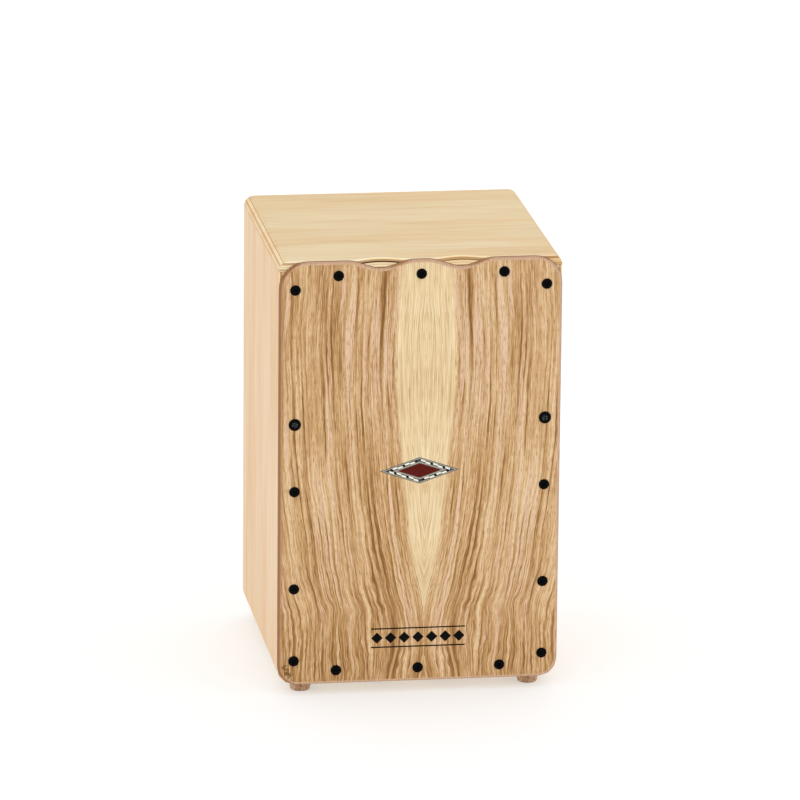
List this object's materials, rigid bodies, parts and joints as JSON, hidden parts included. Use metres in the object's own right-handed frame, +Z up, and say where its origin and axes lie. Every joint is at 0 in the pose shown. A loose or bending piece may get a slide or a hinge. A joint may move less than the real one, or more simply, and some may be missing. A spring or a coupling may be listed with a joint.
{
  "type": "cajon",
  "caption": "Small box drum: plywood body, screwed-on figured front plate with two finger scoops and a marquetry diamond, rear sound hole, rubber feet and tunable inner snare strings.",
  "frame": {"origin": "on the ground under the middle of the object's bounding box", "axes": "+Z up; -Y out of the front plate, towards the player's hands; +X to the right when seen from the front"},
  "size_m": [0.25, 0.2516, 0.395],
  "materials": {
    "birch_plywood": "pale plywood under satin lacquer, faint grain, plies showing at the edges",
    "pine_batten": "unfinished planed softwood",
    "ash_veneer": "satin lacquered ash-like veneer, strong brown vertical grain with a pale middle, reddish core at the rounded edge",
    "inlay_black": "dyed veneer line, satin",
    "inlay_rope": "cream and black marquetry dashes, satin",
    "inlay_grey": "grey dyed veneer line, satin",
    "padauk": "dark red hardwood veneer, satin",
    "black_screw": "black phosphated steel, semi-gloss",
    "gum_rubber": "amber-brown gum rubber, slightly glossy",
    "zinc_steel": "zinc-plated steel",
    "black_oxide_steel": "black oxide alloy steel, lightly oiled",
    "slider_alloy": "milled aluminium, satin",
    "string_steel": "bright drawn music wire"
  },
  "bodies": {
    "root": {"top_panel": "birch_plywood", "bottom_panel": "birch_plywood", "left_panel": "birch_plywood", "right_panel": "birch_plywood", "back_panel": "birch_plywood", "front_batten_left": "pine_batten", "front_batten_right": "pine_batten", "front_batten_top": "pine_batten", "front_batten_bottom": "pine_batten", "rear_batten_left": "pine_batten", "rear_batten_right": "pine_batten", "rear_batten_top": "pine_batten", "rear_batten_bottom": "pine_batten", "front_plate": "ash_veneer", "inlay_outer_line": "inlay_black", "inlay_rope_band": "inlay_rope", "inlay_inner_line": "inlay_grey", "inlay_centre": "padauk", "front_screw_left_1": "black_screw", "front_screw_left_2": "black_screw", "front_screw_left_3": "black_screw", "front_screw_left_4": "black_screw", "front_screw_left_5": "black_screw", "front_screw_top_1": "black_screw", "front_screw_top_2": "black_screw", "front_screw_top_3": "black_screw", "front_screw_right_1": "black_screw", "front_screw_right_2": "black_screw", "front_screw_right_3": "black_screw", "front_screw_right_4": "black_screw", "front_screw_right_5": "black_screw", "front_screw_bottom_1": "black_screw", "front_screw_bottom_2": "black_screw", "front_screw_bottom_3": "black_screw", "foot_front_left": "gum_rubber", "foot_screw_front_left": "zinc_steel", "foot_front_right": "gum_rubber", "foot_screw_front_right": "zinc_steel", "foot_rear_left": "gum_rubber", "foot_screw_rear_left": "zinc_steel", "foot_rear_right": "gum_rubber", "foot_screw_rear_right": "zinc_steel", "string_anchor": "zinc_steel", "tuner_bracket": "zinc_steel", "anchor_screw_left": "zinc_steel", "anchor_screw_right": "zinc_steel", "bracket_screw_left": "zinc_steel", "bracket_screw_right": "zinc_steel", "guide_pin_left": "zinc_steel", "guide_pin_right": "zinc_steel", "snare_string_1": "string_steel", "snare_string_2": "string_steel", "snare_string_3": "string_steel", "snare_string_4": "string_steel"},
    "left_tuning_screw": {"tuning_screw_left": "black_oxide_steel"},
    "left_slider": {"string_slider_left": "slider_alloy"},
    "right_tuning_screw": {"tuning_screw_right": "black_oxide_steel"},
    "right_slider": {"string_slider_right": "slider_alloy"}
  },
  "joints": [
    {"name": "left_tuning_turn", "type": "hinge", "parent": "root", "child": "left_tuning_screw", "pos_m": [-0.028, -0.09645, 0.0313], "axis": [0, 0, 1], "range_deg": [-1080.5, 720.5]},
    {"name": "left_slider_travel", "type": "slide", "parent": "root", "child": "left_slider", "axis": [0, 0, -1], "range_m": [-0.0024, 0.0016], "deforming": ["snare_string_1", "snare_string_2"]},
    {"name": "right_tuning_turn", "type": "hinge", "parent": "root", "child": "right_tuning_screw", "pos_m": [0.028, -0.09645, 0.0313], "axis": [0, 0, 1], "range_deg": [-1080.5, 720.5]},
    {"name": "right_slider_travel", "type": "slide", "parent": "root", "child": "right_slider", "axis": [0, 0, -1], "range_m": [-0.0024, 0.0016], "deforming": ["snare_string_3", "snare_string_4"]}
  ],
  "couplings": [
    {"joint": "left_tuning_turn", "follows": "left_slider_travel", "rad_per_m": 7854},
    {"joint": "right_tuning_turn", "follows": "right_slider_travel", "rad_per_m": 7854}
  ]
}
